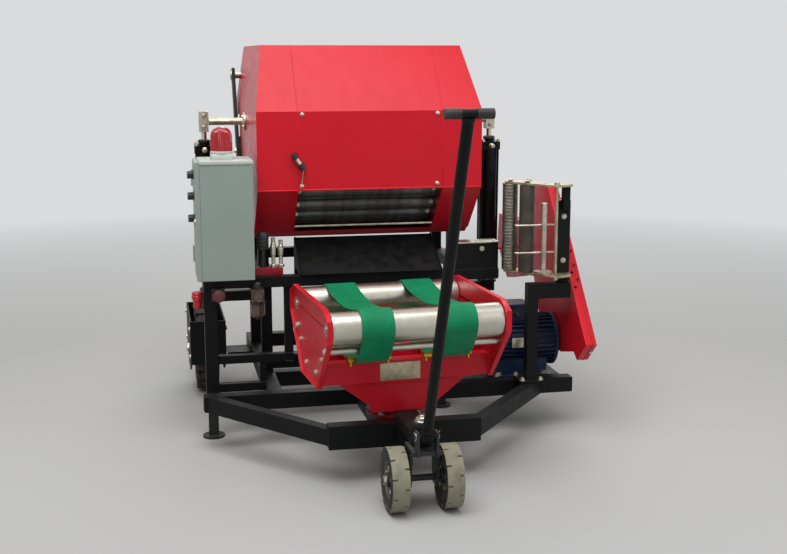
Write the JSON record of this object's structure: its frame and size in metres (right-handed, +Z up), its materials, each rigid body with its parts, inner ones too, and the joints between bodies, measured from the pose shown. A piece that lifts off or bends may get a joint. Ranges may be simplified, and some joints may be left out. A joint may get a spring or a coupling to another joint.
{
  "type": "silage round baler with wrapping table",
  "caption": "Wheeled electric silage round baler: opening roller chamber under a red hood, bale ramp, turning wrapping table with belts, film holder and T-shaped tow handle.",
  "frame": {"origin": "middle of the machine's footprint on the floor, handle included", "axes": "+X to the machine's right seen from the handle end, +Y from the tow handle to the feed chute, +Z up"},
  "size_m": [1.409, 2.4212, 1.407],
  "materials": {
    "black_paint": "semi-gloss",
    "red_paint": "gloss",
    "dark_red_paint": "satin",
    "grey_paint": "fine texture",
    "blue_paint": "semi-gloss",
    "steel": "machined",
    "roller_steel": "rolled and worn bright",
    "zinc": "zinc plated",
    "tan_zinc": "yellow zinc plated",
    "black_anodised": "black anodised",
    "black_rubber": "matt",
    "green_belt": "smooth coated belt",
    "brown_plastic": "clear brown bowl",
    "red_plastic": "glossy lens",
    "tyre": "matt",
    "dusty_tyre": "dusty tread"
  },
  "bodies": {
    "base": {"chassis": "black_paint", "wheel_boxes": "black_paint", "main_axles": "steel", "bench_frame": "black_paint", "front_lattice": "black_paint", "leg_sleeve": "black_paint", "cylinder_brackets": "black_paint", "chamber_case": "red_paint", "chamber_plates": "dark_red_paint", "chamber_rollers": "roller_steel", "hinge_arms": "black_paint", "bale_ramp": "black_paint", "feed_chute": "red_paint", "control_box": "grey_paint", "beacon": "red_plastic", "motor": "blue_paint", "motor_cowl": "blue_paint", "belt_guard": "red_paint", "rear_guard": "red_paint", "film_column": "black_paint", "film_plates": "tan_zinc", "filter_unit": "brown_plastic", "table_pedestal": "dark_red_paint"},
    "hood": {"hood_shell": "red_paint", "hood_plates": "dark_red_paint", "hood_rollers": "roller_steel", "hood_shaft": "zinc"},
    "cylinder_left": {"cylinder_left": "black_anodised"},
    "cylinder_right": {"cylinder_right": "black_anodised"},
    "rod_left": {"rod_left": "zinc"},
    "rod_right": {"rod_right": "zinc"},
    "table": {"table_frame": "red_paint", "table_guides": "zinc", "table_belts": "green_belt"},
    "table_roller_front": {"table_roller_front": "zinc"},
    "table_roller_rear": {"table_roller_rear": "zinc"},
    "control_door": {"control_door": "grey_paint"},
    "film_roller_left": {"film_roller_left": "roller_steel"},
    "film_roller_right": {"film_roller_right": "black_rubber"},
    "film_spindle": {"film_spindle": "zinc"},
    "steering": {"steer_fork": "black_paint"},
    "tow_handle": {"tow_handle": "black_paint"},
    "nose_wheels": {"nose_tyres": "dusty_tyre", "nose_hubs": "black_paint"},
    "wheel_left": {"tyre_left": "tyre", "rim_left": "red_paint"},
    "wheel_right": {"tyre_right": "tyre", "rim_right": "red_paint"},
    "left_leg": {"left_leg": "black_paint"},
    "right_leg": {"right_leg": "black_paint"}
  },
  "joints": [
    {"name": "hood_lift", "type": "hinge", "parent": "base", "child": "hood", "pos_m": [-0.0495, 1.0006, 1.29], "axis": [-1, 0, 0], "range_deg": [0, 40]},
    {"name": "cylinder_left_swing", "type": "hinge", "parent": "base", "child": "cylinder_left", "pos_m": [-0.6195, 0.5906, 0.5], "axis": [1, 0, 0], "range_deg": [0, 1.9]},
    {"name": "cylinder_right_swing", "type": "hinge", "parent": "base", "child": "cylinder_right", "pos_m": [0.5205, 0.5906, 0.5], "axis": [1, 0, 0], "range_deg": [0, 1.9]},
    {"name": "rod_left_slide", "type": "slide", "parent": "cylinder_left", "child": "rod_left", "axis": [0, -0.0161, 0.9999], "range_m": [0, 0.3119]},
    {"name": "rod_right_slide", "type": "slide", "parent": "cylinder_right", "child": "rod_right", "axis": [0, -0.0161, 0.9999], "range_m": [0, 0.3119]},
    {"name": "table_turn", "type": "hinge", "parent": "base", "child": "table", "pos_m": [-0.0495, -0.3094, 0.54], "axis": [0, 0, 1], "continuous": true},
    {"name": "table_roller_front_spin", "type": "hinge", "parent": "table", "child": "table_roller_front", "pos_m": [-0.03076, -0.52358, 0.54], "axis": [0.9962, 0.0872, 0], "continuous": true},
    {"name": "table_roller_rear_spin", "type": "hinge", "parent": "table", "child": "table_roller_rear", "pos_m": [-0.06824, -0.09521, 0.54], "axis": [0.9962, 0.0872, 0], "continuous": true},
    {"name": "nose_steer", "type": "hinge", "parent": "base", "child": "steering", "pos_m": [-0.0495, -0.6994, 0.2], "axis": [0, 0, 1], "range_deg": [-55, 55]},
    {"name": "nose_wheels_spin", "type": "hinge", "parent": "steering", "child": "nose_wheels", "pos_m": [-0.0495, -0.6994, 0.1], "axis": [1, 0, 0], "continuous": true},
    {"name": "handle_tilt", "type": "hinge", "parent": "steering", "child": "tow_handle", "pos_m": [-0.0495, -0.7614, 0.25], "axis": [1, 0, 0], "range_deg": [-20, 56]},
    {"name": "wheel_left_spin", "type": "hinge", "parent": "base", "child": "wheel_left", "pos_m": [-0.6235, 0.8206, 0.175], "axis": [1, 0, 0], "continuous": true},
    {"name": "wheel_right_spin", "type": "hinge", "parent": "base", "child": "wheel_right", "pos_m": [0.5245, 0.8206, 0.175], "axis": [1, 0, 0], "continuous": true},
    {"name": "film_roller_left_spin", "type": "hinge", "parent": "base", "child": "film_roller_left", "pos_m": [0.4555, 0.0683, 0.76], "axis": [0, 0, 1], "continuous": true},
    {"name": "film_roller_right_spin", "type": "hinge", "parent": "base", "child": "film_roller_right", "pos_m": [0.5005, 0.0083, 0.76], "axis": [0, 0, 1], "continuous": true},
    {"name": "film_spindle_spin", "type": "hinge", "parent": "base", "child": "film_spindle", "pos_m": [0.5505, -0.0397, 0.7], "axis": [0, 0, 1], "continuous": true},
    {"name": "control_door_swing", "type": "hinge", "parent": "base", "child": "control_door", "pos_m": [-0.6798, 0.2606, 0.7988], "axis": [0, 0, -1], "range_deg": [0, 110]},
    {"name": "left_leg_slide", "type": "slide", "parent": "base", "child": "left_leg", "axis": [0, 0, 1], "range_m": [0, 0.09]},
    {"name": "right_leg_slide", "type": "slide", "parent": "base", "child": "right_leg", "axis": [0, 0, 1], "range_m": [0, 0.078]}
  ],
  "couplings": [
    {"joint": "cylinder_left_swing", "follows": "hood_lift", "ratio": 0.0425},
    {"joint": "cylinder_right_swing", "follows": "hood_lift", "ratio": 0.0425},
    {"joint": "rod_left_slide", "follows": "hood_lift", "m_per_rad": 0.4439},
    {"joint": "rod_right_slide", "follows": "hood_lift", "m_per_rad": 0.4439}
  ]
}
